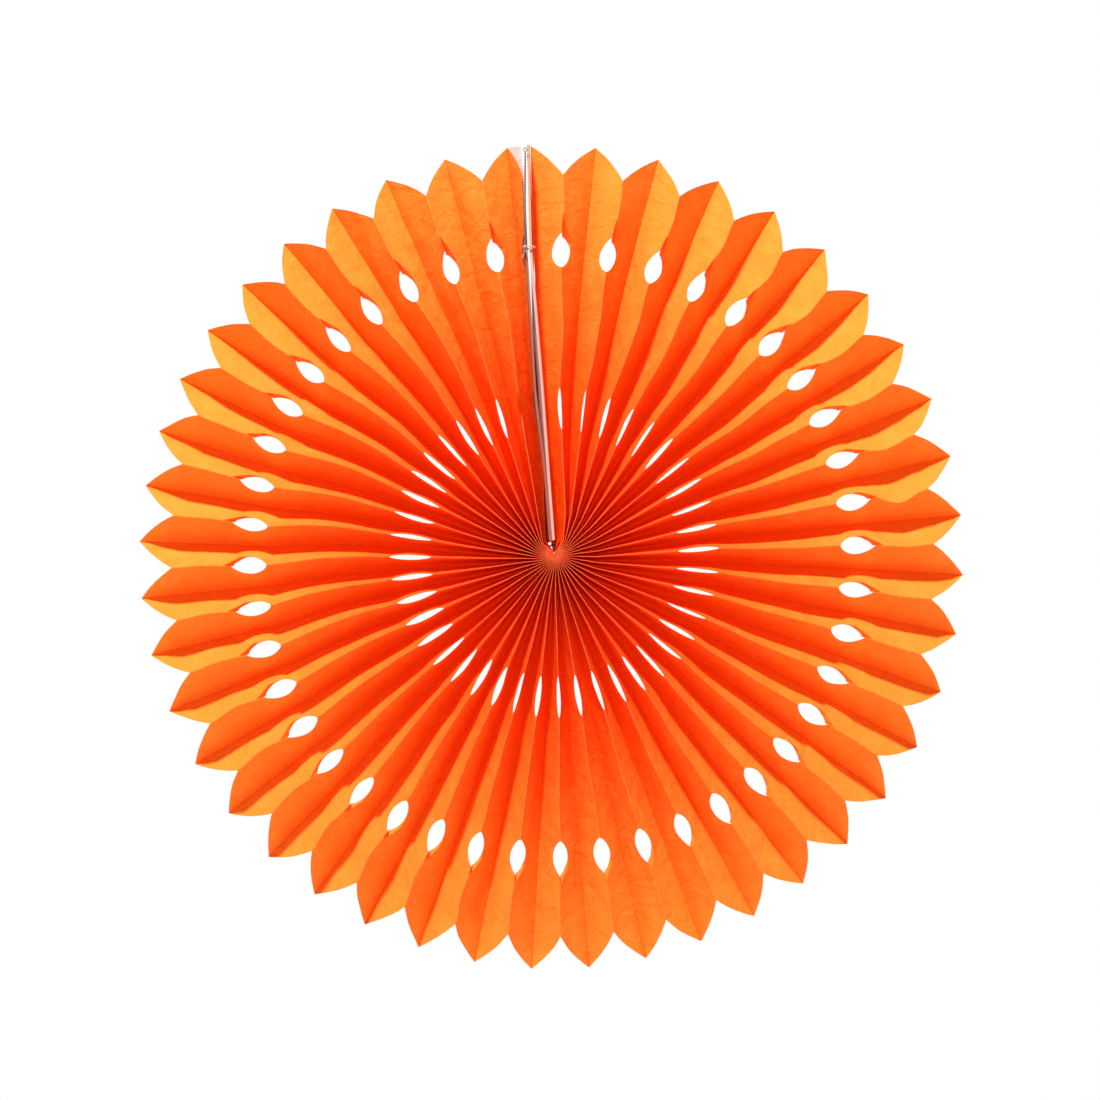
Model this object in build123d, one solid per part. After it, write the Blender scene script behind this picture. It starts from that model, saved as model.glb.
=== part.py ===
from build123d import *
import math
import os

# A round paper fan medallion, hung upright. One strip of tissue paper is folded into
# pleats, bound at its inner end and opened out until its two ends meet. A stiff card is
# glued to each end, and a thread tied round both cards closes the disc and hangs it.
# Millimetres. The fan's axis is Y and it faces -Y, with +X to the right and +Z up.
# Angles run clockwise from straight up, as seen from the front.

# Sheet
fan_radius = 200.0
pleat_width = 22.0
sheet_thickness = 0.3
inner_radius = 3.6
valley_count = 44
hub_thinning_share = 0.06

# Cut edges, as radii on the folds and depths into the panels
notch_radius = 181.4
outer_hole_inner = 136.4
outer_hole_outer = 153.2
outer_hole_depth = 7.9
inner_hole_inner = 58.8
inner_hole_outer = 78.0
inner_hole_depth = 4.4

# Cards
card_thickness = 1.2
card_inner_radius = 6.0
card_front_radius = 196.0
card_glue_gap = 0.3
left_card_setback = 1.5
right_card_setback = 0.0
tie_hole_diameter = 2.4
tie_hole_setback = 4.0

# Threads
binding_diameter = 0.8
binding_fit = 0.25
binding_notch_depth = 1.4
tie_radius = 146.4
tie_diameter = 0.7
tie_ring_radius = 2.9
tie_hole_seat = 0.2
knot_angle = 35.0
knot_diameter = 2.2
tail_length = 5.5
tail_diameter = 0.5
tail_angle = 14.0
hang_height = 191.5
hang_diameter = 0.9
eye_diameter = 2.2
eye_thread_diameter = 0.5

# Spread of the pleats, in degrees: the seam, the first and last whole valleys, and the
# slow unevenness of the pitch between them
seam_angle = -4.5
first_valley_angle = 5.95
last_valley_angle = 353.4
spread_sines = (2.01, 0.49, 0.44)
spread_cosines = (-1.65, -0.51, -0.03)

# Twist of the folds between the hub and the outer holes, in degrees where it is strongest:
# its mean and its slow waves round the fan, and the folds beside the seam that it spares
twist_mean = 0.9
twist_sines = (-1.22, -0.4)
twist_cosines = (0.35, -0.3)
twist_spared_folds = 6

# Distances of the folds at the seam from the seam plane, as shares of fan_radius, at
# stations along the radius that are shares of it too
station_shares = (0.0, 0.035, 0.10, 0.19, 0.384, 0.725, 1.0)
left_valley_shares = (0.0, -0.0245, -0.0260, -0.0275, -0.0285, -0.0285, -0.0345)
left_ridge_shares = (0.0, -0.0185, -0.0165, -0.0115, -0.0205, -0.0140, 0.0)
right_ridge_shares = (0.0, 0.0150, 0.0065, 0.0057, 0.0073, 0.0060, 0.0212)
right_valley_shares = (0.0, -0.0050, -0.0075, -0.0083, -0.0100, 0.0115, 0.0235)
first_ridge_shares = (0.0, 0.0230, 0.0330, 0.0360, 0.0430, 0.0745, 0.1030)

# The cards' front edges follow the paper's but stay together near the hub, where it parts
left_card_shares = (-0.0115, -0.0115, -0.0115, -0.0115, -0.0205, -0.0140, 0.0)
right_card_shares = (0.0053, 0.0053, 0.0053, 0.0057, 0.0073, 0.0060, 0.0212)

# Rows of facets between the cut features, as shares of each span, and curve of the cuts
inner_hole_row_shares = (0.0, 0.5, 1.0)
middle_row_shares = (0.5,)
outer_hole_row_shares = (0.0, 0.2, 0.5, 0.8, 1.0)
petal_row_shares = (0.0, 0.5, 1.0)
hole_roundness_share = 0.8
petal_bulge_share = 0.06

# Folds in order along the strip: even ones are ridges at the front, odd ones valleys
last_fold = 2 * valley_count


def spaced(start, end, shares):
    return [start + (end - start) * share for share in shares]


slot_radius = inner_radius + binding_notch_depth
slot_half = binding_diameter / 2 + binding_fit
hub_edge, hub_rim, hub_bend = (share * fan_radius for share in station_shares[1:4])
row_radii = [inner_radius, slot_radius, hub_edge, hub_rim, hub_bend]
row_radii += spaced(inner_hole_inner, inner_hole_outer, inner_hole_row_shares)
row_radii += spaced(inner_hole_outer, outer_hole_inner, middle_row_shares)
row_radii += spaced(outer_hole_inner, outer_hole_outer, outer_hole_row_shares)
row_radii += spaced(notch_radius, fan_radius, petal_row_shares)


def seam_distance(shares, radius):
    """Distance from the seam plane at a radius, between the stations on either side."""
    part = min(radius / fan_radius, 1.0)
    for i in range(len(station_shares) - 1):
        low, high = station_shares[i], station_shares[i + 1]
        if part <= high:
            return fan_radius * (shares[i] + (shares[i + 1] - shares[i]) * (part - low) / (high - low))


def seam_fold_angle(shares, radius):
    return seam_angle + math.degrees(math.asin(seam_distance(shares, radius) / radius))


def valley_angle(index):
    """Angle of the first to the last whole valley at the rim."""
    steps = valley_count - 2
    turn = 2 * math.pi * (index - 1) / steps
    angle = first_valley_angle + (last_valley_angle - first_valley_angle) * (index - 1) / steps
    for order, (sine, cosine) in enumerate(zip(spread_sines, spread_cosines), start=1):
        angle += sine * math.sin(order * turn) + cosine * (math.cos(order * turn) - 1)
    return angle


def open_angle(fold):
    """Angle of a fold at the rim, from the first free ridge to the last valley."""
    if fold == 2:
        return seam_fold_angle(first_ridge_shares, fan_radius)
    if fold % 2:
        return valley_angle((fold - 1) // 2)
    return (valley_angle(fold // 2 - 1) + valley_angle(fold // 2)) / 2


def fold_twist(fold, radius):
    """How far a fold leans from its radial line, most halfway to the outer holes."""
    angle = math.radians(open_angle(fold))
    twist = twist_mean
    for order, (sine, cosine) in enumerate(zip(twist_sines, twist_cosines), start=1):
        twist += sine * math.sin(order * angle) + cosine * math.cos(order * angle)
    spared = min((fold - 2) / twist_spared_folds, (last_fold - 1 - fold) / twist_spared_folds, 1.0)
    return twist * spared * math.sin(math.pi * min(radius / outer_hole_inner, 1.0))


def fold_angle(fold, radius):
    """Angle of a fold at a radius. Near the hub the cards press the other folds aside."""
    if fold == 0:
        return seam_fold_angle(right_ridge_shares, radius)
    if fold == 1:
        return seam_fold_angle(right_valley_shares, radius)
    if fold == last_fold:
        return seam_fold_angle(left_ridge_shares, radius) + 360
    low = seam_fold_angle(first_ridge_shares, radius)
    high = seam_fold_angle(left_valley_shares, radius) + 360
    open_low, open_high = open_angle(2), open_angle(last_fold - 1)
    spread = (open_angle(fold) - open_low) / (open_high - open_low)
    return low + (high - low) * spread + fold_twist(fold, radius)


def pitch_chord(radius):
    """Distance from an even ridge to the valley beside it, seen from the front."""
    return 2 * radius * math.sin(math.pi / (2 * valley_count))


def half_depth(radius):
    """Half of the pleats' depth, which shrinks as they open outwards."""
    return math.sqrt(pleat_width ** 2 - pitch_chord(radius) ** 2) / 2


def fold_point(fold, radius):
    angle = math.radians(fold_angle(fold, radius))
    depth = half_depth(radius) if fold % 2 else -half_depth(radius)
    return Vector(radius * math.sin(angle), depth, radius * math.cos(angle))


def sheet_half(radius):
    """Half of the sheet's thickness, thinned where the pleats are packed at the hub."""
    return min(sheet_thickness, hub_thinning_share * pitch_chord(radius)) / 2


def fold_sides(fold, radius):
    """Front and back surface points at a fold, set off from it along its mitre."""
    point = fold_point(fold, radius)
    half = sheet_half(radius)
    if fold in (0, last_fold):
        inwards = 1 if fold == 0 else -1
        along = (fold_point(fold + inwards, radius) - point).normalized()
        side = along.cross(Vector(point.X, 0, point.Z).normalized()) * inwards
        return point + side * half, point - side * half
    before = (fold_point(fold - 1, radius) - point).normalized()
    after = (fold_point(fold + 1, radius) - point).normalized()
    inward = (before + after).normalized()
    reach = half / math.sqrt(1 - before.dot(inward) ** 2)
    inner, outer = point + inward * reach, point - inward * reach
    return (inner, outer) if fold % 2 else (outer, inner)


def hole_share(radius, low, high, depth):
    """How far a hole's edge reaches from the ridge, as a share of the panel's width."""
    rest = 1 - ((2 * radius - low - high) / (high - low)) ** 2
    return depth / pleat_width * max(rest, 0.0) ** hole_roundness_share


def cut_share(radius):
    """Where the paper starts, as a share of a panel's width from its ridge."""
    if inner_hole_inner < radius < inner_hole_outer:
        return hole_share(radius, inner_hole_inner, inner_hole_outer, inner_hole_depth)
    if outer_hole_inner < radius < outer_hole_outer:
        return hole_share(radius, outer_hole_inner, outer_hole_outer, outer_hole_depth)
    if radius > notch_radius:
        part = (radius - notch_radius) / (fan_radius - notch_radius)
        return part - petal_bulge_share * math.sin(math.pi * part)
    return 0.0


def row_runs(index):
    """One row's points over a panel as one or two runs. Each is its share of the panel's
    width from the ridge, its radius and, beside the binding's notch, its depth."""
    radius = row_radii[index]
    before = (0.5 - slot_half / pleat_width, radius, -slot_half)
    after = (0.5 + slot_half / pleat_width, radius, slot_half)
    if index == 0:
        return [[(0.0, radius), before], [after, (1.0, radius)]]
    if index == 1:
        return [[(0.0, radius), before, after, (1.0, radius)]]
    start = cut_share(radius)
    return [[(start, radius), (1.0, radius)]] if start < 1 else [[(1.0, radius)]]


def strip_triangles(low, high):
    """Triangles between two runs of points, stepping along the run that lags behind."""
    triangles = []
    i, j = 0, 0
    while i < len(low) - 1 or j < len(high) - 1:
        low_next = low[i + 1][0] if i < len(low) - 1 else math.inf
        high_next = high[j + 1][0] if j < len(high) - 1 else math.inf
        if low_next <= high_next:
            triangles.append((low[i], high[j], low[i + 1]))
            i += 1
        else:
            triangles.append((low[i], high[j], high[j + 1]))
            j += 1
    return triangles


def panel_triangles():
    """The facets of any panel, row by row from the hub to the petal."""
    triangles = []
    for index in range(len(row_radii) - 1):
        low_runs, high_runs = row_runs(index), row_runs(index + 1)
        if index == 0:
            high_runs = [high_runs[0][:2], high_runs[0][2:]]
        for low, high in zip(low_runs, high_runs):
            triangles += strip_triangles(low, high)
    return triangles


def surface_points(place, ridge_sides, valley_sides):
    """A panel point on the front and the back surface, between those of its two folds."""
    points = []
    for start, end in zip(ridge_sides, valley_sides):
        part = place[0] if len(place) == 2 else (place[2] - start.Y) / (end.Y - start.Y)
        points.append(start + (end - start) * part)
    return points


def facet(a, b, c):
    return Face(Wire.make_polygon([a, b, c], close=True))


def closed_solid(faces):
    solid = Solid(Shell(faces))
    solid.fix()
    return solid


def skinned_solid(triangles, sides):
    """Solid between two like surfaces, closed along every edge that has one triangle."""
    faces = []
    edges = set()
    for a, b, c in triangles:
        faces.append(facet(sides[a][0], sides[b][0], sides[c][0]))
        faces.append(facet(sides[c][1], sides[b][1], sides[a][1]))
        edges.update(((a, b), (b, c), (c, a)))
    for a, b in edges:
        if (b, a) not in edges:
            faces.append(facet(sides[b][0], sides[a][0], sides[a][1]))
            faces.append(facet(sides[b][0], sides[a][1], sides[b][1]))
    return closed_solid(faces)


def make_pleated_paper():
    """The folded sheet, cut along both hole rows and into petals, as one solid."""
    facets = panel_triangles()
    triangles, sides = [], {}
    for radius in row_radii:
        for fold in range(last_fold + 1):
            sides[fold, radius] = fold_sides(fold, radius)
    for panel in range(last_fold):
        ridge, valley = (panel, panel + 1) if panel % 2 == 0 else (panel + 1, panel)
        for corners in facets:
            keys = []
            for place in corners:
                share, radius = place[:2]
                key = ({0.0: ridge, 1.0: valley}[share], radius) if share in (0.0, 1.0) else (panel, place)
                if key not in sides:
                    sides[key] = surface_points(place, sides[ridge, radius], sides[valley, radius])
                keys.append(key)
            triangles.append(keys if panel % 2 == 0 else keys[::-1])
    return skinned_solid(triangles, sides)


def seam_place(distance, depth, radius):
    """A point at a distance from the seam plane, a depth and a radius along the seam."""
    angle = math.radians(seam_angle)
    along = math.sqrt(radius ** 2 - distance ** 2)
    return Vector(distance * math.cos(angle) + along * math.sin(angle), depth,
                  -distance * math.sin(angle) + along * math.cos(angle))


def card_faces(front_shares, back_shares, sense, radius):
    """Distances of a card's glued and bare faces from the seam plane, front then back."""
    clear = sheet_thickness / 2 + card_glue_gap
    glued = [seam_distance(shares, radius) + sense * clear for shares in (front_shares, back_shares)]
    bare = [distance + sense * card_thickness for distance in glued]
    return glued, bare


def make_card(front_shares, back_shares, sense, setback):
    """A stiff strip behind the end panel's front edge, from near the hub to the rim."""
    radii = [card_inner_radius] + [radius for radius in row_radii if radius > card_inner_radius]
    triangles, sides = [], {}
    for radius in radii:
        for end, share in ((0, setback / (2 * half_depth(radius))), (1, 1.0)):
            reach = radius if end else min(radius, card_front_radius)
            glued, bare = card_faces(front_shares, back_shares, sense, reach)
            depth = half_depth(reach) * (2 * share - 1)
            pair = [seam_place(face[0] + (face[1] - face[0]) * share, depth, reach)
                    for face in (glued, bare)]
            sides[end, radius] = pair if sense < 0 else pair[::-1]
    for low, high in zip(radii[:-1], radii[1:]):
        triangles.append([(0, low), (0, high), (1, low)])
        triangles.append([(1, low), (0, high), (1, high)])
    return skinned_solid(triangles, sides)


def seam_upward():
    angle = math.radians(seam_angle)
    return Vector(math.sin(angle), 0, math.cos(angle))


def tie_edges():
    """Distances of the two cards' glued faces from the seam plane, where the tie passes."""
    left = card_faces(left_card_shares, left_valley_shares, 1, tie_radius)[0][0]
    right = card_faces(right_card_shares, right_valley_shares, -1, tie_radius)[0][0]
    return left, right


def tie_plane():
    """Centre of the thread ring round both cards, level with it. Local Y is the depth."""
    left, right = tie_edges()
    depth = tie_hole_setback + tie_hole_seat - tie_ring_radius - half_depth(tie_radius)
    centre = seam_place((left + right) / 2, depth, tie_radius)
    across = seam_upward().cross(Vector(0, 1, 0)) * -1
    return Plane(origin=centre, x_dir=across, z_dir=seam_upward())


def knot_centre():
    """The knot's place on the ring, in front of the left card's edge."""
    angle = math.radians(knot_angle)
    return tie_plane().from_local_coords(Vector(-math.sin(angle), -math.cos(angle), 0) * tie_ring_radius)


def make_tie_hole():
    """A rod across both cards, behind their front edges, that cuts the tie's holes."""
    left, right = tie_edges()
    depth = tie_hole_setback - half_depth(tie_radius)
    start = seam_place(left - card_thickness, depth, tie_radius)
    end = seam_place(right + card_thickness, depth, tie_radius)
    plane = Plane(origin=(start + end) / 2, z_dir=end - start)
    return plane * Cylinder(tie_hole_diameter / 2, (end - start).length)


def make_card_tie():
    """Thread round both cards' front edges, with its knot and two cut tails in front."""
    body = tie_plane() * Torus(tie_ring_radius, tie_diameter / 2)
    body += Pos(*knot_centre()) * Sphere(knot_diameter / 2)
    for lean in (-tail_angle, tail_angle):
        down = Location(knot_centre()) * Rotation(0, 180 + lean, 0)
        body += down * Pos(0, 0, tail_length / 2) * Cylinder(tail_diameter / 2, tail_length)
    return body


def make_hanging_thread():
    """The doubled thread that rises from the knot, pulled straight by the fan's weight."""
    start = knot_centre() + Vector(0, 0, knot_diameter / 2)
    length = hang_height - start.Z
    return Pos(start.X, start.Y, start.Z + length / 2) * Cylinder(hang_diameter / 2, length)


def make_hanging_eye():
    """The small loop at the thread's upper end."""
    tube = eye_thread_diameter / 2
    middle = knot_centre()
    place = Pos(middle.X, middle.Y, hang_height + eye_diameter / 2)
    return place * Rotation(90, 0, 0) * Torus(eye_diameter / 2 - tube, tube)


def make_binding_thread():
    """The thread drawn tight through the notches in the pleats' inner ends."""
    return Rotation(90, 0, 0) * Torus(inner_radius + binding_diameter / 2, binding_diameter / 2)


os.makedirs("parts", exist_ok=True)
hole = make_tie_hole()
pieces = {
    "pleated_paper": make_pleated_paper(),
    "left_card": make_card(left_card_shares, left_valley_shares, 1, left_card_setback) - hole,
    "right_card": make_card(right_card_shares, right_valley_shares, -1, right_card_setback) - hole,
    "binding_thread": make_binding_thread(),
    "card_tie": make_card_tie(),
    "hanging_thread": make_hanging_thread(),
    "hanging_eye": make_hanging_eye(),
}
for name, piece in pieces.items():
    export_step(piece, f"parts/{name}.step")
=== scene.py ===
import bpy
import math
import random
from mathutils import Matrix, Vector, noise


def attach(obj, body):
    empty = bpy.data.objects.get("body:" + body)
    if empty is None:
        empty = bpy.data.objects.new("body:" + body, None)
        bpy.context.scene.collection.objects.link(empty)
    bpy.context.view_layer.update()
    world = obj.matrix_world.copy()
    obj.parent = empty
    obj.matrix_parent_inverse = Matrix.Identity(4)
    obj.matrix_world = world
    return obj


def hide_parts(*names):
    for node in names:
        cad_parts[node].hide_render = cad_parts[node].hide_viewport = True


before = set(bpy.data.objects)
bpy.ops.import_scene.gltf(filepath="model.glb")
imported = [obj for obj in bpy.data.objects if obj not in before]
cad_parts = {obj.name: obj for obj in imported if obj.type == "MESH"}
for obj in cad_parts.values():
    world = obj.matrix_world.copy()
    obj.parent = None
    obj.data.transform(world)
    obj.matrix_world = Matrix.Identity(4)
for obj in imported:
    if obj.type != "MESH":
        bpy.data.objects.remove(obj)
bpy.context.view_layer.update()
MM = 0.001

# ---------------------------------------------------------------------------------------
# Camera. The photograph was taken from a little below and left of the fan's axis, about
# twice the fan's width away, with a plain lens. Its frame is 1100 by 1100 pixels.
# ---------------------------------------------------------------------------------------
VIEW_FROM_BELOW = math.radians(2.0)
VIEW_FROM_LEFT = math.radians(1.3)
VIEW_DISTANCE = 0.800
VIEW_ASIDE = -0.00195
VIEW_ABOVE = 0.00157
FOCAL_PIXELS, FRAME_PIXELS, SENSOR = 1665.6, 1100.0, 36.0

sin_b, cos_b = math.sin(VIEW_FROM_BELOW), math.cos(VIEW_FROM_BELOW)
sin_l, cos_l = math.sin(VIEW_FROM_LEFT), math.cos(VIEW_FROM_LEFT)
view_right = Vector((cos_l, -sin_l * cos_b, -sin_b * sin_l))
view_back = Vector((-sin_l, -cos_l * cos_b, -sin_b * cos_l))
view_up = view_back.cross(view_right)

camera_data = bpy.data.cameras.new("photo_camera")
camera_data.sensor_width = SENSOR
camera_data.lens = FOCAL_PIXELS / FRAME_PIXELS * SENSOR
camera_data.clip_start, camera_data.clip_end = 0.01, 20.0
camera = bpy.data.objects.new("photo_camera", camera_data)
bpy.context.scene.collection.objects.link(camera)
place = view_back * VIEW_DISTANCE + view_right * VIEW_ASIDE + view_up * VIEW_ABOVE
turn = Matrix((view_right, view_up, view_back)).transposed().to_4x4()
camera.matrix_world = Matrix.Translation(place) @ turn
bpy.context.scene.camera = camera

# ---------------------------------------------------------------------------------------
# Hanging thread. A doubled grey cotton thread rises straight from the knot on the cards,
# pulled tight by the fan's weight. Its two plies are twisted together.
# ---------------------------------------------------------------------------------------
KNOT_TOP = Vector((-13.87, -10.755, 146.86)) * MM
HANG_TOP = 191.5 * MM
HANG_DIAMETER = 0.9 * MM
PLY_TWISTS_PER_METRE = 330.0


def new_object(name, mesh):
    piece = bpy.data.objects.new(name, mesh)
    bpy.context.scene.collection.objects.link(piece)
    return piece


def route_points(curve_object):
    """The points along a route's own NURBS spline."""
    line = bpy.data.meshes.new_from_object(curve_object)
    return [vertex.co.copy() for vertex in line.vertices]


def resampled(points, step):
    """Points a step apart along a line of points."""
    out, carried = [points[0]], 0.0
    for start, end in zip(points[:-1], points[1:]):
        length = (end - start).length
        while carried + length >= step:
            part = (step - carried) / length
            start = start.lerp(end, part)
            length = (end - start).length
            carried = 0.0
            out.append(start)
        carried += length
    return out


def tube_rings(path, radius, sides):
    """Vertices and quads of a tube along a path, its rings turned as little as they can."""
    verts, faces = [], []
    across = None
    last = len(path) - 1
    for i, point in enumerate(path):
        along = (path[min(i + 1, last)] - path[max(i - 1, 0)]).normalized()
        if across is None:
            across = along.orthogonal().normalized()
        across = (across - along * across.dot(along)).normalized()
        aside = along.cross(across)
        for side in range(sides):
            angle = 2 * math.pi * side / sides
            verts.append(point + (across * math.cos(angle) + aside * math.sin(angle)) * radius)
    for i in range(last):
        for side in range(sides):
            low, high = i * sides, (i + 1) * sides
            after = (side + 1) % sides
            faces.append((low + side, low + after, high + after, high + side))
    faces.append(tuple(range(sides))[::-1])
    faces.append(tuple(last * sides + side for side in range(sides)))
    return verts, faces


def twisted_plies(path, radius, plies, twists_per_metre):
    """The centre lines of the plies that wind round a path, each touching the next."""
    lines = [[] for _ in range(plies)]
    travelled, across = 0.0, None
    for i, point in enumerate(path):
        along = (path[min(i + 1, len(path) - 1)] - path[max(i - 1, 0)]).normalized()
        if i:
            travelled += (point - path[i - 1]).length
        if across is None:
            across = along.orthogonal().normalized()
        across = (across - along * across.dot(along)).normalized()
        aside = along.cross(across)
        for ply in range(plies):
            angle = 2 * math.pi * (travelled * twists_per_metre + ply / plies)
            lines[ply].append(point + (across * math.cos(angle) + aside * math.sin(angle)) * radius)
    return lines


def joined_mesh(name, parts):
    """One smooth mesh from several lists of vertices and faces."""
    verts, faces = [], []
    for part_verts, part_faces in parts:
        base = len(verts)
        verts += part_verts
        faces += [tuple(base + i for i in face) for face in part_faces]
    mesh = bpy.data.meshes.new(name)
    mesh.from_pydata(verts, [], faces)
    mesh.shade_smooth()
    return mesh


def add_node(tree, kind, **inputs):
    """A node of that kind with its sockets set, or linked where a socket is given."""
    node = tree.nodes.new(kind)
    for key, value in inputs.items():
        socket = node.inputs[key.replace("_", " ")]
        if isinstance(value, bpy.types.NodeSocket):
            tree.links.new(value, socket)
        else:
            socket.default_value = value
    return node


def empty_material(name):
    material = bpy.data.materials.new(name)
    material.use_nodes = True
    material.node_tree.nodes.clear()
    return material


def mixed(tree, factor, first, second):
    """A colour between two, each a plain colour or a socket."""
    node = add_node(tree, "ShaderNodeMix")
    node.data_type = "RGBA"
    for name, value in (("A", first), ("B", second)):
        socket = [item for item in node.inputs if item.name == name and item.type == "RGBA"][0]
        if isinstance(value, bpy.types.NodeSocket):
            tree.links.new(value, socket)
        else:
            socket.default_value = (*value, 1)
    share = [item for item in node.inputs if item.name == "Factor" and item.type == "VALUE"][0]
    tree.links.new(factor, share)
    return [item for item in node.outputs if item.type == "RGBA"][0]


def fibre_grain_group():
    """Fine fibres in thread, card and tissue: a colour between two, a mask and a relief."""
    group = bpy.data.node_groups.new("fibre_grain", "ShaderNodeTree")
    for label, kind in (("Place", "Vector"), ("Scale", "Float"), ("Pale", "Color"), ("Dark", "Color"),
                        ("Relief", "Float")):
        group.interface.new_socket(label, in_out="INPUT", socket_type="NodeSocket" + kind)
    for label, kind in (("Color", "Color"), ("Mask", "Float"), ("Normal", "Vector")):
        group.interface.new_socket(label, in_out="OUTPUT", socket_type="NodeSocket" + kind)
    given = group.nodes.new("NodeGroupInput").outputs
    fibres = add_node(group, "ShaderNodeTexNoise", Vector=given["Place"], Scale=given["Scale"], Detail=4.0,
                      Roughness=0.72)
    tone = mixed(group, fibres.outputs["Fac"], given["Dark"], given["Pale"])
    relief = add_node(group, "ShaderNodeBump", Height=fibres.outputs["Fac"], Strength=0.5,
                      Distance=given["Relief"])
    result = group.nodes.new("NodeGroupOutput").inputs
    group.links.new(tone, result["Color"])
    group.links.new(fibres.outputs["Fac"], result["Mask"])
    group.links.new(relief.outputs["Normal"], result["Normal"])
    return group


fibre_grain = fibre_grain_group()


def grain_in(tree, place, scale, pale, dark, relief):
    """The fibre grain placed in a material with its own values."""
    node = tree.nodes.new("ShaderNodeGroup")
    node.node_tree = fibre_grain
    tree.links.new(place, node.inputs["Place"])
    node.inputs["Scale"].default_value, node.inputs["Relief"].default_value = scale, relief
    node.inputs["Pale"].default_value, node.inputs["Dark"].default_value = (*pale, 1), (*dark, 1)
    return node.outputs


# Painted shade on the tie thread where it crosses the cards: the same pinkish orange as their painted
# shade.
THREAD_CARD_SHADE = (0.80, 0.44, 0.30)
THREAD_RELIEF = 0.00008
CARD_SHADE_BLUR = 0.0003


def thread_finish(name, pale, dark, fibre_scale, card_shade_from=1.0):
    """Cotton thread, matt, grey with handling, with fine fibres. To the right of a given place
    it takes painted shade, the pinkish orange of the shaded cards it crosses."""
    material = empty_material(name)
    tree = material.node_tree
    where = add_node(tree, "ShaderNodeTexCoord").outputs["Object"]
    grain = grain_in(tree, where, fibre_scale, pale, dark, THREAD_RELIEF)
    aside = add_node(tree, "ShaderNodeSeparateXYZ", Vector=where).outputs["X"]
    # Painted shade to the right of the given place.
    colour_with_painted_light = add_node(tree, "ShaderNodeMapRange", Value=aside)
    colour_with_painted_light.inputs["From Min"].default_value = card_shade_from - CARD_SHADE_BLUR
    colour_with_painted_light.inputs["From Max"].default_value = card_shade_from + CARD_SHADE_BLUR
    paint = mixed(tree, colour_with_painted_light.outputs["Result"], grain["Color"], THREAD_CARD_SHADE)
    surface = add_node(tree, "ShaderNodeBsdfPrincipled", Normal=grain["Normal"], Roughness=0.85)
    surface.inputs["Sheen Weight"].default_value = 0.3
    tree.links.new(paint, surface.inputs["Base Color"])
    out = add_node(tree, "ShaderNodeOutputMaterial")
    tree.links.new(surface.outputs["BSDF"], out.inputs["Surface"])
    return material


grey_thread = thread_finish("grey_cotton_thread", (0.26, 0.22, 0.19), (0.05, 0.04, 0.035), 2600.0)

route = bpy.data.curves.new("thread_route", "CURVE")
route.dimensions = "3D"
line = route.splines.new("NURBS")
hang_stations = (0.0, 0.33, 0.67, 1.0)
line.points.add(len(hang_stations) - 1)
for point, part in zip(line.points, hang_stations):
    height = KNOT_TOP.z + (HANG_TOP - KNOT_TOP.z) * part
    point.co = (KNOT_TOP.x, KNOT_TOP.y, height, 1)
line.order_u = 3
line.use_endpoint_u = True
route_object = bpy.data.objects.new("thread_route", route)
thread_line = route_points(route_object)
bpy.data.objects.remove(route_object)

ply_radius = HANG_DIAMETER / 4
thread_path = resampled(thread_line, 0.12 * MM)
plies = twisted_plies(thread_path, ply_radius, 2, PLY_TWISTS_PER_METRE)
thread_mesh = joined_mesh("hanging_thread", [tube_rings(ply, ply_radius, 8) for ply in plies])
hanging_thread = new_object("doubled_thread", thread_mesh)
thread_mesh.materials.append(grey_thread)
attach(hanging_thread, "root")
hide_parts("hanging_thread")

# ---------------------------------------------------------------------------------------
# Hanging eye. The doubled thread ends above in a small loop, for a pin or a hook. The
# loop is the same two plies, turned back on themselves.
# ---------------------------------------------------------------------------------------
EYE_DIAMETER = 2.2 * MM
EYE_THREAD = 0.5 * MM

eye_centre = Vector((KNOT_TOP.x, KNOT_TOP.y, HANG_TOP + EYE_DIAMETER / 2))
eye_radius = (EYE_DIAMETER - EYE_THREAD) / 2
eye_path = []
for i in range(97):
    angle = 2 * math.pi * i / 96 - math.pi / 2
    eye_path.append(eye_centre + Vector((math.cos(angle), 0, math.sin(angle))) * eye_radius)
eye_plies = twisted_plies(eye_path, EYE_THREAD / 4, 2, 4 / (2 * math.pi * eye_radius))
eye_mesh = joined_mesh("hanging_eye", [tube_rings(ply, EYE_THREAD / 4, 8) for ply in eye_plies])
eye = new_object("thread_eye", eye_mesh)
eye_mesh.materials.append(grey_thread)
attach(eye, "root")
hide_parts("hanging_eye")

# ---------------------------------------------------------------------------------------
# Pleated paper. One strip of bright orange tissue paper, folded into 88 panels. Lenses
# were cut through the front folds in two rows and the edge into petals, and the strip
# was then opened into a disc.
# ---------------------------------------------------------------------------------------
FAN_RADIUS, PLEAT_WIDTH, VALLEYS = 200.0, 22.0, 44
NOTCH_RADIUS = 181.4
OUTER_HOLE = (136.4, 153.0)
OUTER_HOLE_DEPTH = 7.9
INNER_HOLE = (58.8, 78.0)
INNER_HOLE_DEPTH = 4.4
HOLE_ROUNDNESS, PETAL_BULGE = 0.8, 0.06
SEAM_ANGLE, FIRST_VALLEY, LAST_VALLEY = -4.5, 5.95, 353.4
SPREAD_SINES = (2.01, 0.49, 0.44)
SPREAD_COSINES = (-1.65, -0.51, -0.03)
TWIST_MEAN = 0.9
TWIST_SINES, TWIST_COSINES = (-1.22, -0.4), (0.35, -0.3)
TWIST_SPARED_FOLDS = 6
STATIONS = (0.0, 0.035, 0.10, 0.19, 0.384, 0.725, 1.0)
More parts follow.
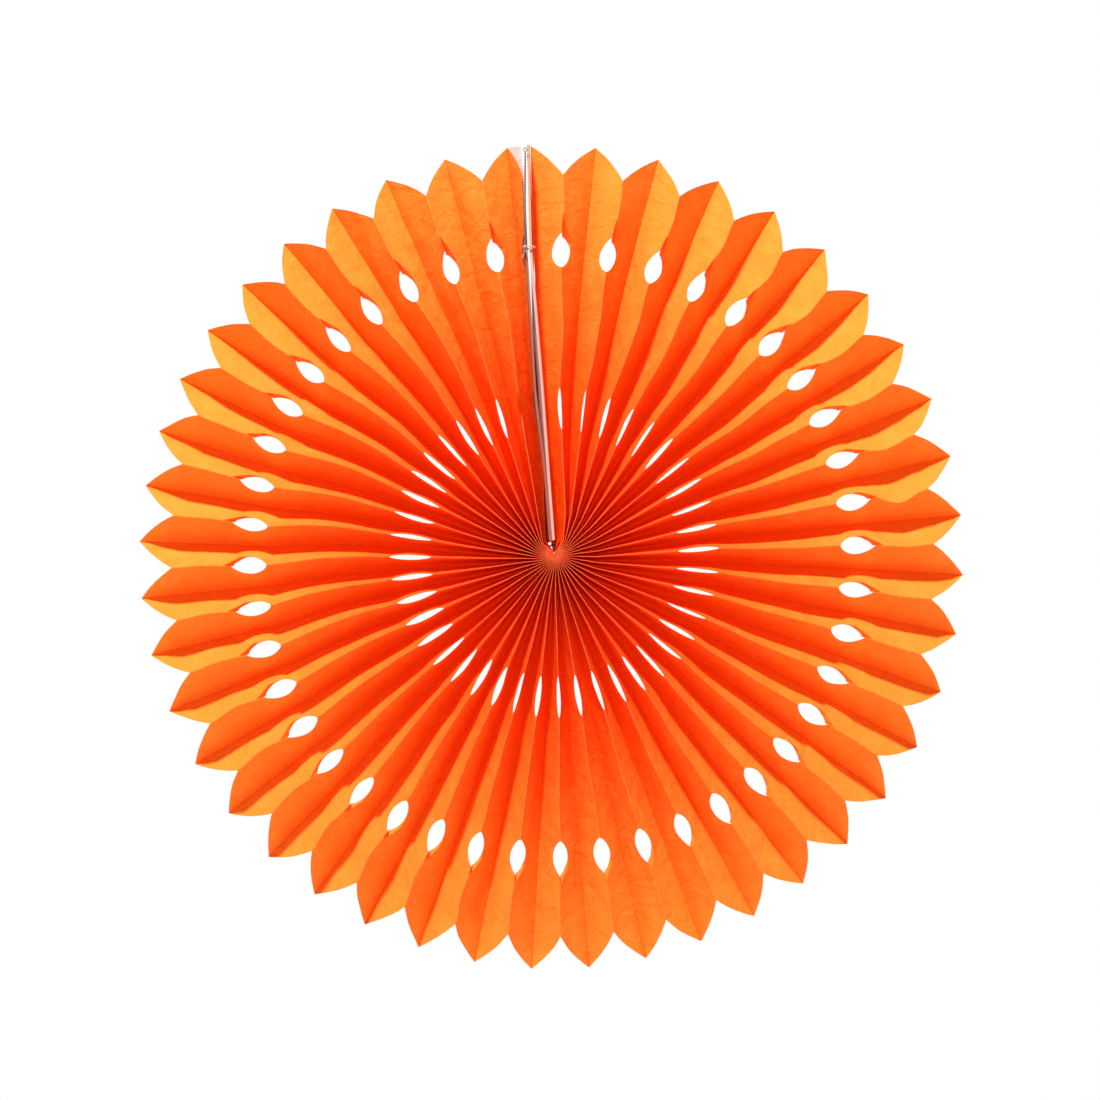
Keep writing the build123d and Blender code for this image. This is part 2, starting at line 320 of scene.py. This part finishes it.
SEAM_SHARES = {
    "left_valley": (0.0, -0.0245, -0.0260, -0.0275, -0.0285, -0.0285, -0.0345),
    "left_ridge": (0.0, -0.0185, -0.0165, -0.0115, -0.0205, -0.0140, 0.0),
    "right_ridge": (0.0, 0.0150, 0.0065, 0.0057, 0.0073, 0.0060, 0.0212),
    "right_valley": (0.0, -0.0050, -0.0075, -0.0083, -0.0100, 0.0115, 0.0235),
    "first_ridge": (0.0, 0.0230, 0.0330, 0.0360, 0.0430, 0.0745, 0.1030),
}
LAST_FOLD = 2 * VALLEYS
HUB_RADIUS = 0.5
CREST_HALF = 0.18
PUSHED_IN_RIDGE, SLIT_SHARES = 86, {2: 0.5, 4: 0.3}
TUCK_START, TUCK_BEND, TUCK_SHARE = 143.4, 149.6, 0.385
TUCK_END, TUCK_END_AT_TOP = 157.0, 5.0
TUCK_SINK = 0.75

random.seed(7)


def seam_distance(name, radius):
    shares = SEAM_SHARES[name]
    part = min(radius / FAN_RADIUS, 1.0)
    for i in range(len(STATIONS) - 1):
        low, high = STATIONS[i], STATIONS[i + 1]
        if part <= high:
            return FAN_RADIUS * (shares[i] + (shares[i + 1] - shares[i]) * (part - low) / (high - low))


def seam_fold_angle(name, radius):
    return SEAM_ANGLE + math.degrees(math.asin(seam_distance(name, radius) / radius))


def valley_angle(index):
    steps = VALLEYS - 2
    turned = 2 * math.pi * (index - 1) / steps
    angle = FIRST_VALLEY + (LAST_VALLEY - FIRST_VALLEY) * (index - 1) / steps
    for order, (sine, cosine) in enumerate(zip(SPREAD_SINES, SPREAD_COSINES), start=1):
        angle += sine * math.sin(order * turned) + cosine * (math.cos(order * turned) - 1)
    return angle


def open_angle(fold):
    if fold == 2:
        return seam_fold_angle("first_ridge", FAN_RADIUS)
    if fold % 2:
        return valley_angle((fold - 1) // 2)
    return (valley_angle(fold // 2 - 1) + valley_angle(fold // 2)) / 2


def fold_twist(fold, radius):
    """How far a fold leans from its radial line, most halfway to the outer holes."""
    angle = math.radians(open_angle(fold))
    twist = TWIST_MEAN
    for order, (sine, cosine) in enumerate(zip(TWIST_SINES, TWIST_COSINES), start=1):
        twist += sine * math.sin(order * angle) + cosine * math.cos(order * angle)
    spared = min((fold - 2) / TWIST_SPARED_FOLDS, (LAST_FOLD - 1 - fold) / TWIST_SPARED_FOLDS, 1.0)
    return twist * spared * math.sin(math.pi * min(radius / OUTER_HOLE[0], 1.0))


def fold_angle(fold, radius):
    """Angle of a fold at a radius. Near the hub the cards press the other folds aside."""
    if fold == 0:
        return seam_fold_angle("right_ridge", radius)
    if fold == 1:
        return seam_fold_angle("right_valley", radius)
    if fold == LAST_FOLD:
        return seam_fold_angle("left_ridge", radius) + 360
    low = seam_fold_angle("first_ridge", radius)
    high = seam_fold_angle("left_valley", radius) + 360
    open_low, open_high = open_angle(2), open_angle(LAST_FOLD - 1)
    spread = (open_angle(fold) - open_low) / (open_high - open_low)
    return low + (high - low) * spread + fold_twist(fold, radius)


def pitch_chord(radius):
    return 2 * radius * math.sin(math.pi / LAST_FOLD)


def half_depth(radius):
    return math.sqrt(PLEAT_WIDTH ** 2 - pitch_chord(radius) ** 2) / 2


def ridge_sag(fold, radius):
    """How far a ridge's crease wanders sideways, clockwise, between its cut stretches."""
    if fold < 2 or fold > LAST_FOLD - 2:
        return 0.0
    angle, aside = math.radians(open_angle(fold)), 0.0
    if INNER_HOLE[1] < radius < OUTER_HOLE[0]:
        part = (radius - INNER_HOLE[1]) / (OUTER_HOLE[0] - INNER_HOLE[1])
        aside += (0.6 + 0.4 * math.cos(angle)) * math.sin(math.pi * part) ** 2
    if OUTER_HOLE[1] < radius < NOTCH_RADIUS:
        part = (radius - OUTER_HOLE[1]) / (NOTCH_RADIUS - OUTER_HOLE[1])
        slump = 4.0 * math.exp(-((math.degrees(angle) - 78.0) / 5.0) ** 2)
        aside += (0.6 + 1.2 * math.sin(2 * angle) + slump) * math.sin(math.pi * part) ** 2
    return aside + 0.45 * noise.noise(Vector((fold * 3.1, radius / 15, 0.5))) * min(radius / 90, 1.0)


fold_cache = {}


def fold_point(fold, radius):
    key = fold, round(radius, 4)
    if key not in fold_cache:
        angle = math.radians(fold_angle(fold, radius))
        depth = half_depth(radius) if fold % 2 else -half_depth(radius)
        point = Vector((radius * math.sin(angle), depth, radius * math.cos(angle)))
        if fold % 2 == 0:
            point += Vector((math.cos(angle), 0, -math.sin(angle))) * ridge_sag(fold, radius)
        fold_cache[key] = point
    return fold_cache[key]


def hole_share(radius, span, depth):
    rest = 1 - ((2 * radius - span[0] - span[1]) / (span[1] - span[0])) ** 2
    return depth / PLEAT_WIDTH * max(rest, 0.0) ** HOLE_ROUNDNESS


def inner_hole_depth(ridge):
    """The inner holes gape more at the left, and two beside the seam are only slits."""
    lean = math.cos(math.radians(fold_angle(ridge, INNER_HOLE[1]) - 255))
    return INNER_HOLE_DEPTH * SLIT_SHARES.get(ridge, 1 + 0.25 * lean)


def cut_share(ridge, radius):
    """Where the paper starts, as a share of a panel's width from its ridge."""
    if INNER_HOLE[0] < radius < INNER_HOLE[1] and ridge != PUSHED_IN_RIDGE:
        return hole_share(radius, INNER_HOLE, inner_hole_depth(ridge))
    if OUTER_HOLE[0] < radius < OUTER_HOLE[1]:
        return hole_share(radius, OUTER_HOLE, OUTER_HOLE_DEPTH)
    if radius > NOTCH_RADIUS:
        part = (radius - NOTCH_RADIUS) / (FAN_RADIUS - NOTCH_RADIUS)
        return part - PETAL_BULGE * math.sin(math.pi * part)
    return 0.0


panel_bows = [random.uniform(-0.5, 0.5) for _ in range(LAST_FOLD)]


def panel_point(panel, share, radius):
    """A point of the sheet: its panel, its share of the width from the ridge, its radius."""
    ridge, valley = (panel, panel + 1) if panel % 2 == 0 else (panel + 1, panel)
    start, end = fold_point(ridge, radius), fold_point(valley, radius)
    point = start.lerp(end, share)
    if 0 < panel < LAST_FOLD - 1 and 0 < share < 1:
        normal = (end - start).cross(Vector((start.x, 0, start.z))).normalized()
        swell = math.sin(math.pi * share) * min(radius / 60, 1.0)
        wave = noise.noise(Vector((panel * 7.3, radius / 26, share * 1.5)))
        fine = noise.noise(Vector((panel * 5.1, radius / 9, share * 4)))
        point += normal * swell * (panel_bows[panel] + 0.8 * wave + 0.25 * fine)
    return point


def spaced(start, end, count):
    return [start + (end - start) * i / count for i in range(count)]


def eased(start, end, count):
    """Radii from start towards end, closer together at both ends."""
    return [start + (end - start) * (1 - math.cos(math.pi * i / count)) / 2 for i in range(count)]


def crest_half(radius):
    """Half the width of a ridge's rounded crease. At the hub the creases touch."""
    return min(CREST_HALF, math.pi * radius / VALLEYS)


def tuck_side(ridge):
    """The panel whose cut edge is tucked in at a ridge's outer hole: the upper one."""
    return ridge - 1 if 45 < fold_angle(ridge, OUTER_HOLE[1]) < 225 else ridge


def tuck_share(ridge, radius):
    """Where the tucked edge's crease lies, as a share of the panel's width from its ridge."""
    if ridge == PUSHED_IN_RIDGE and INNER_HOLE[0] < radius < INNER_HOLE[1]:
        return hole_share(radius, INNER_HOLE, INNER_HOLE_DEPTH)
    upright = math.cos(math.radians(fold_angle(ridge, OUTER_HOLE[1])))
    end = TUCK_END + TUCK_END_AT_TOP * max(upright, 0.0) ** 4
    if ridge in (0, LAST_FOLD) or not TUCK_START < radius < end:
        return 0.0
    return TUCK_SHARE * min((end - radius) / (end - TUCK_BEND), (radius - TUCK_START) / 1.2, 1.0)


def sheet_point(panel, share, radius):
    """A panel's point with its ridge's crease and, at an outer hole, its tucked edge."""
    ridge = panel + panel % 2
    point = panel_point(panel, share, radius)
    around = math.radians(fold_angle(ridge, radius))
    if 0 < ridge < LAST_FOLD:
        side = -1 if panel % 2 else 1
        clockwise = Vector((math.cos(around), 0, -math.sin(around)))
        point += clockwise * side * crest_half(radius) * max(1 - share * 4, 0.0)
    if panel == tuck_side(ridge) or ridge == PUSHED_IN_RIDGE and radius < INNER_HOLE[1]:
        crease = tuck_share(ridge, radius)
        if share < crease:
            deep = panel_point(panel, crease, radius).y - point.y
            point.y += deep * (1 + TUCK_SINK)
    return point


row_radii = spaced(HUB_RADIUS, 3.0, 3) + spaced(3.0, 7.0, 3) + spaced(7.0, 20.0, 3)
row_radii += spaced(20.0, INNER_HOLE[0], 6)
row_radii += eased(*INNER_HOLE, 12) + spaced(INNER_HOLE[1], OUTER_HOLE[0], 10)
row_radii += eased(*OUTER_HOLE, 18) + spaced(OUTER_HOLE[1], 162.0, 8)
row_radii += spaced(162.0, NOTCH_RADIUS, 5) + spaced(NOTCH_RADIUS, FAN_RADIUS, 14) + [FAN_RADIUS]
COLUMNS, TUCK_COLUMNS = 7, 3

sheet_verts, sheet_faces, sheet_places = [], [], []
sheet_index = {}


def sheet_vertex(key, point, place):
    if key not in sheet_index:
        sheet_index[key] = len(sheet_verts)
        sheet_verts.append(point * MM)
        sheet_places.append(place)
    return sheet_index[key]


def add_face(corners, turned):
    face = [corner for i, corner in enumerate(corners) if corner != corners[i - 1]]
    if len(face) > 2:
        sheet_faces.append(face[::-1] if turned else face)


panel_starts = {}
for panel in range(LAST_FOLD):
    ridge, valley = (panel, panel + 1) if panel % 2 == 0 else (panel + 1, panel)
    grid = []
    for row, radius in enumerate(row_radii):
        start = min(cut_share(ridge, radius), 1.0)
        tucked = panel == tuck_side(ridge) or ridge == PUSHED_IN_RIDGE and radius < INNER_HOLE[1]
        crease = max(tuck_share(ridge, radius), start) if tucked else start
        shares = [start + (crease - start) * i / TUCK_COLUMNS for i in range(TUCK_COLUMNS)]
        shares += [crease + (1 - crease) * i / COLUMNS for i in range(COLUMNS + 1)]
        line_of_row = []
        for column, share in enumerate(shares):
            if share > 0.9999:
                key = ("fold", valley, row)
            elif share == start:
                key = ("start", panel, row)
            elif share == crease:
                key = ("crease", panel, row)
            else:
                key = ("panel", panel, row, column)
            place = (panel + share if panel % 2 == 0 else panel + 1 - share, radius)
            line_of_row.append(sheet_vertex(key, sheet_point(panel, share, radius), place))
        panel_starts[panel, row] = line_of_row[0]
        grid.append(line_of_row)
    for low, high in zip(grid[:-1], grid[1:]):
        for column in range(COLUMNS + TUCK_COLUMNS):
            corners = [low[column], low[column + 1], high[column + 1], high[column]]
            add_face(corners, panel % 2)

# The rounded creases join the panels along every ridge, except at the holes and notches
for ridge in range(2, LAST_FOLD, 2):
    for row in range(len(row_radii) - 1):
        if cut_share(ridge, row_radii[row]) == 0 == cut_share(ridge, row_radii[row + 1]):
            corners = [panel_starts[ridge - 1, row], panel_starts[ridge, row],
                       panel_starts[ridge, row + 1], panel_starts[ridge - 1, row + 1]]
            add_face(corners, False)

paper_mesh = bpy.data.meshes.new("pleated_paper")
paper_mesh.from_pydata(sheet_verts, [], sheet_faces)
strip_places = paper_mesh.uv_layers.new(name="strip")
for corner in paper_mesh.loops:
    strip_places.data[corner.index].uv = sheet_places[corner.vertex_index]
paper_mesh.shade_smooth()
paper_mesh.set_sharp_from_angle(angle=math.radians(25))
paper = new_object("orange_pleated_paper", paper_mesh)


def math_node(tree, operation, first, second):
    node = add_node(tree, "ShaderNodeMath")
    node.operation = operation
    for socket, value in zip(node.inputs, (first, second)):
        if isinstance(value, bpy.types.NodeSocket):
            tree.links.new(value, socket)
        else:
            socket.default_value = value
    return node.outputs[0]


def ramped(tree, value, low, high, at_low=0.0, at_high=1.0):
    """The value carried smoothly from one range to another."""
    node = add_node(tree, "ShaderNodeMapRange", Value=value)
    node.interpolation_type = "SMOOTHSTEP"
    node.inputs["From Min"].default_value, node.inputs["From Max"].default_value = low, high
    node.inputs["To Min"].default_value, node.inputs["To Max"].default_value = at_low, at_high
    return node.outputs["Result"]


# The hub colour is painted shade, standing for the deeper red light far inside the pleats; the rim colour
# is the dye's own orange.
HUB_PAINTED_SHADE, RIM_DYE = (0.98, 0.078, 0.003), (0.99, 0.395, 0.050)
# The fold colour is painted shade deep in the valleys; the cloud and speck colours are the dye's own
# mottling and grain.
FOLD_PAINTED_SHADE, CLOUD_DYE, SPECK_DYE = (0.80, 0.050, 0.002), (1.0, 0.50, 0.078), (0.90, 0.20, 0.012)
# The crest colour is a painted highlight along the ridges near the hub; the valley colour is a painted dark
# line of shade along each valley.
CREST_PAINTED_HIGHLIGHT, VALLEY_PAINTED_SHADE = (1.0, 0.20, 0.11), (0.75, 0.07, 0.003)
LIT_THROUGH, THROUGH_SHARE = (0.99, 0.060, 0.002), 0.30


def tissue_finish():
    """Dyed tissue paper: matt, mottled and crinkled, and light comes through it. Painted shade
    deepens its colour in the valleys and towards the hub and draws a dark line along each
    valley, and a painted highlight pales the ridges' crests near the hub. The strip map
    gives the fold count and the radius."""
    material = empty_material("orange_tissue_paper")
    tree = material.node_tree
    strip = add_node(tree, "ShaderNodeUVMap")
    strip.uv_map = "strip"
    parts = add_node(tree, "ShaderNodeSeparateXYZ", Vector=strip.outputs["UV"])
    across, radius = parts.outputs["X"], parts.outputs["Y"]
    from_ridge = math_node(tree, "PINGPONG", across, 1.0)
    flat_place = add_node(tree, "ShaderNodeCombineXYZ", X=math_node(tree, "MULTIPLY", across, PLEAT_WIDTH),
                          Y=radius).outputs["Vector"]
    crease_place = add_node(tree, "ShaderNodeMapping", Vector=flat_place)
    crease_place.inputs["Scale"].default_value = (0.9, 1.3, 1.0)
    clouds = add_node(tree, "ShaderNodeTexNoise", Vector=flat_place, Scale=0.09, Detail=5.0, Roughness=0.62)
    creases = add_node(tree, "ShaderNodeTexNoise", Vector=crease_place.outputs["Vector"], Scale=0.10,
                       Detail=5.0, Roughness=0.55, Distortion=0.8)
    grain = grain_in(tree, flat_place, 1.3, (1.0, 1.0, 1.0), (0.0, 0.0, 0.0), 0.0003)

    outward = ramped(tree, radius, 20.0, 195.0)
    # Painted shade: the colour deepens from the rim towards the hub.
    colour_with_painted_light = mixed(tree, outward, HUB_PAINTED_SHADE, RIM_DYE)
    # Painted shade: deeper red towards each valley, more so near the hub.
    fold_shade_mask = math_node(tree, "MULTIPLY", ramped(tree, from_ridge, 0.45, 1.0),
                        ramped(tree, radius, 60.0, 170.0, 0.42, 0.12))
    colour_with_painted_light = mixed(tree, fold_shade_mask, colour_with_painted_light, FOLD_PAINTED_SHADE)
    patch = math_node(tree, "MULTIPLY", ramped(tree, clouds.outputs["Fac"], 0.42, 0.62), 0.36)
    colour_with_painted_light = mixed(tree, math_node(tree, "MULTIPLY", patch, outward), colour_with_painted_light, CLOUD_DYE)
    speck = math_node(tree, "MULTIPLY", ramped(tree, grain["Mask"], 0.40, 0.60), 0.34)
    colour_with_painted_light = mixed(tree, speck, colour_with_painted_light, SPECK_DYE)
    # Painted highlight: the ridges' crests are paler, most between about 40 and 60 mm out and hardly at all
    # beyond 125 mm.
    painted_tone = math_node(tree, "MULTIPLY", ramped(tree, radius, 4.0, 40.0, 0.28, 0.50),
                       ramped(tree, radius, 60.0, 125.0, 1.0, 0.1))
    from_crest = math_node(tree, "DIVIDE", from_ridge, ramped(tree, radius, 6.0, 45.0, 0.25, 1.0))
    crest_highlight_mask = math_node(tree, "MULTIPLY", ramped(tree, from_crest, 0.004, 0.022, 1.0, 0.0), painted_tone)
    colour_with_painted_light = mixed(tree, crest_highlight_mask, colour_with_painted_light, CREST_PAINTED_HIGHLIGHT)
    # Painted shade: a thin dark line along each valley.
    valley_shade_mask = math_node(tree, "MULTIPLY", ramped(tree, from_ridge, 0.975, 0.995), 0.5)
    colour_with_painted_light = mixed(tree, valley_shade_mask, colour_with_painted_light, VALLEY_PAINTED_SHADE)

    crinkle = add_node(tree, "ShaderNodeBump", Height=creases.outputs["Fac"], Normal=grain["Normal"],
                       Strength=0.8, Distance=0.0013)
    surface = add_node(tree, "ShaderNodeBsdfPrincipled", Normal=crinkle.outputs["Normal"], Roughness=0.72)
    surface.inputs["Specular IOR Level"].default_value = 0.04
    tree.links.new(colour_with_painted_light, surface.inputs["Base Color"])
    through = add_node(tree, "ShaderNodeBsdfTranslucent", Normal=crinkle.outputs["Normal"])
    through.inputs["Color"].default_value = (*LIT_THROUGH, 1)
    sheet = add_node(tree, "ShaderNodeMixShader")
    sheet.inputs[0].default_value = THROUGH_SHARE
    tree.links.new(surface.outputs["BSDF"], sheet.inputs[1])
    tree.links.new(through.outputs["BSDF"], sheet.inputs[2])
    out = add_node(tree, "ShaderNodeOutputMaterial")
    tree.links.new(sheet.outputs["Shader"], out.inputs["Surface"])
    return material


def panel_area(ridge):
    """What the holes and the petals' notches leave of one flat panel."""
    kept = 0.0
    for low, high in zip(row_radii[:-1], row_radii[1:]):
        kept += (2 - cut_share(ridge, low) - cut_share(ridge, high)) / 2 * (high - low)
    return PLEAT_WIDTH * kept * MM ** 2


strip_area = sum(panel_area(panel + panel % 2) for panel in range(LAST_FOLD))

paper_mesh.materials.append(tissue_finish())
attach(paper, "root")
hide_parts("pleated_paper")

# ---------------------------------------------------------------------------------------
# End cards. Two stiff strips of white card, as deep as the pleats, glued to the strip's
# two ends. Their bare faces meet at the seam.
# ---------------------------------------------------------------------------------------
# A second painted shade for the outer part of a card's front edge, beyond the rim distance from the seam
# line.
CARD_RIM_PAINTED_SHADE = (0.80, 0.26, 0.18)
# Fades and blur for the edges of the cards' painted shade.
SHADE_FADE, FRONT_SHADE_FADE, RIM_BLUR = 0.045, 0.0006, 0.0001


def card_finish(name, upper_card_tone, painted_card_shade, rim, painted_shade_height, front_shade_depth):
    """Matt card with a faint pulp grain, in the colour given for its upper part. Painted shade,
    the card's tone in the fan's shadow and orange bounce light, covers it below a given height
    and all the way up in front of a given depth, with a second painted tone on the outermost
    part of its front edge, beyond the distance rim from the seam line."""
    material = empty_material(name)
    tree = material.node_tree
    where = add_node(tree, "ShaderNodeTexCoord").outputs["Object"]
    parts = add_node(tree, "ShaderNodeSeparateXYZ", Vector=where)
    pulp = grain_in(tree, where, 900.0, upper_card_tone, [part * 0.93 for part in upper_card_tone], 0.00006)
    along = math_node(tree, "MULTIPLY", parts.outputs["Z"], -math.sin(math.radians(SEAM_ANGLE)))
    aside = math_node(tree, "ADD", parts.outputs["X"], along)
    kept = ramped(tree, aside, rim * MM - RIM_BLUR, rim * MM + RIM_BLUR)
    # Painted shade: the card's tone in the fan's shadow and orange bounce light, with the pulp grain.
    painted_tone = mixed(tree, pulp["Mask"], painted_card_shade, [part * 0.8 for part in painted_card_shade])
    # Painted shade: beyond the distance rim from the seam line the card takes a deeper painted tone.
    painted_tone = mixed(tree, kept, painted_tone, CARD_RIM_PAINTED_SHADE)
    # The painted shade covers the card below a given height, and all the way up in front of a given depth.
    lower_shade_mask = ramped(tree, parts.outputs["Z"], painted_shade_height - SHADE_FADE, painted_shade_height, 1.0, 0.0)
    front_shade_mask = ramped(tree, parts.outputs["Y"], front_shade_depth - FRONT_SHADE_FADE, front_shade_depth, 0.85, 0.0)
    paint = mixed(tree, math_node(tree, "MAXIMUM", lower_shade_mask, front_shade_mask), pulp["Color"], painted_tone)
    surface = add_node(tree, "ShaderNodeBsdfPrincipled", Normal=pulp["Normal"], Roughness=0.8)
    tree.links.new(paint, surface.inputs["Base Color"])
    out = add_node(tree, "ShaderNodeOutputMaterial")
    tree.links.new(surface.outputs["BSDF"], out.inputs["Surface"])
    return material


# Per card: its upper colour, its painted shade, the rim distance, the painted shade's top height and the
# front depth. The left card is its own white above and painted mauve shade below and along its front.
for node, upper_card_tone, painted_card_shade, rim, painted_shade_height, front_shade_depth in (
        ("left_card", (0.88, 0.84, 0.80), (0.40, 0.105, 0.070), 60.0, 0.196, -0.0070),
        # The right card's upper colour is painted brown-orange shadow; below it a lighter painted tone near
        # the seam line turns to a deeper painted shade beyond 0.55 mm.
        ("right_card", (0.68, 0.29, 0.15), (0.95, 0.42, 0.34), 0.55, 0.165, -0.0600)):
    card_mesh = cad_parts[node].data
    card_mesh.materials.clear()
    finish = card_finish(f"pale_card_painted_shade_of_{node}", upper_card_tone, painted_card_shade, rim, painted_shade_height, front_shade_depth)
    card_mesh.materials.append(finish)

# ---------------------------------------------------------------------------------------
# Binding thread and card tie. The same cotton binds the pleats' inner ends and closes
# the seam: it runs through a hole in both cards and is knotted in front, its ends cut.
# ---------------------------------------------------------------------------------------
# The tie thread takes painted shade to the right of the knot, over the cards.
tie_thread = thread_finish("tie_cotton_thread", (0.62, 0.50, 0.42), (0.06, 0.045, 0.04), 1300.0, -0.0127)
for node, finish in (("binding_thread", grey_thread), ("card_tie", tie_thread)):
    thread_node_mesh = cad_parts[node].data
    thread_node_mesh.materials.clear()
    thread_node_mesh.materials.append(finish)

# ---------------------------------------------------------------------------------------
# Studio. A plain pale floor well below the hung fan, a small strong lamp above and in
# front of it, weak ones at its left, right and front, a broad one behind that shines
# through the tissue, and a plain white surround.
# ---------------------------------------------------------------------------------------
FLOOR_DROP = 0.60
FLOOR_HALF = 1.15

floor_mesh = bpy.data.meshes.new("floor")
floor_mesh.from_pydata([(-FLOOR_HALF, -FLOOR_HALF, -FLOOR_DROP), (FLOOR_HALF, -FLOOR_HALF, -FLOOR_DROP),
                        (FLOOR_HALF, FLOOR_HALF, -FLOOR_DROP), (-FLOOR_HALF, FLOOR_HALF, -FLOOR_DROP)],
                       [], [(0, 1, 2, 3)])
floor = new_object("studio_floor", floor_mesh)
floor_paint = empty_material("pale_floor")
tree = floor_paint.node_tree
surface = add_node(tree, "ShaderNodeBsdfPrincipled", Roughness=0.9)
surface.inputs["Base Color"].default_value = (0.85, 0.85, 0.85, 1)
out = add_node(tree, "ShaderNodeOutputMaterial")
tree.links.new(surface.outputs["BSDF"], out.inputs["Surface"])
floor_mesh.materials.append(floor_paint)


def lamp(name, direction, distance, side, power):
    """A square lamp that shines at the fan's centre."""
    data = bpy.data.lights.new(name, "AREA")
    data.shape = "RECTANGLE"
    data.size, data.size_y, data.energy = side, side, power
    obj = bpy.data.objects.new(name, data)
    bpy.context.scene.collection.objects.link(obj)
    aim = Vector(direction).normalized()
    obj.location = aim * distance
    obj.rotation_mode = "QUATERNION"
    obj.rotation_quaternion = aim.to_track_quat("Z", "Y")


lamp("top_lamp", (-0.146, -0.56, 0.826), 1.6, 0.15, 41.0)
lamp("left_lamp", (-1.0, -0.55, -0.10), 1.6, 0.7, 2.3)
lamp("right_lamp", (1.0, -0.55, -0.10), 1.6, 0.7, 2.3)
lamp("front_lamp", (-0.1, -1.0, 0.1), 1.8, 1.2, 1.6)
lamp("back_lamp", (0.0, 1.0, 0.25), 1.3, 1.6, 20.5)

world = bpy.data.worlds.new("studio")
bpy.context.scene.world = world
world.use_nodes = True
tree = world.node_tree
tree.nodes.clear()
seen = add_node(tree, "ShaderNodeLightPath")
either = math_node(tree, "MAXIMUM", seen.outputs["Is Camera Ray"], seen.outputs["Is Glossy Ray"])
any_ray = math_node(tree, "MAXIMUM", either, seen.outputs["Is Transmission Ray"])
room = add_node(tree, "ShaderNodeBackground", Strength=0.06)
room.inputs["Color"].default_value = (1, 1, 1, 1)
white = add_node(tree, "ShaderNodeBackground", Strength=1.0)
white.inputs["Color"].default_value = (1, 1, 1, 1)
pick = add_node(tree, "ShaderNodeMixShader")
tree.links.new(any_ray, pick.inputs[0])
tree.links.new(room.outputs[0], pick.inputs[1])
tree.links.new(white.outputs[0], pick.inputs[2])
out = add_node(tree, "ShaderNodeOutputWorld")
tree.links.new(pick.outputs[0], out.inputs["Surface"])

bpy.context.scene.view_settings.view_transform = "Standard"
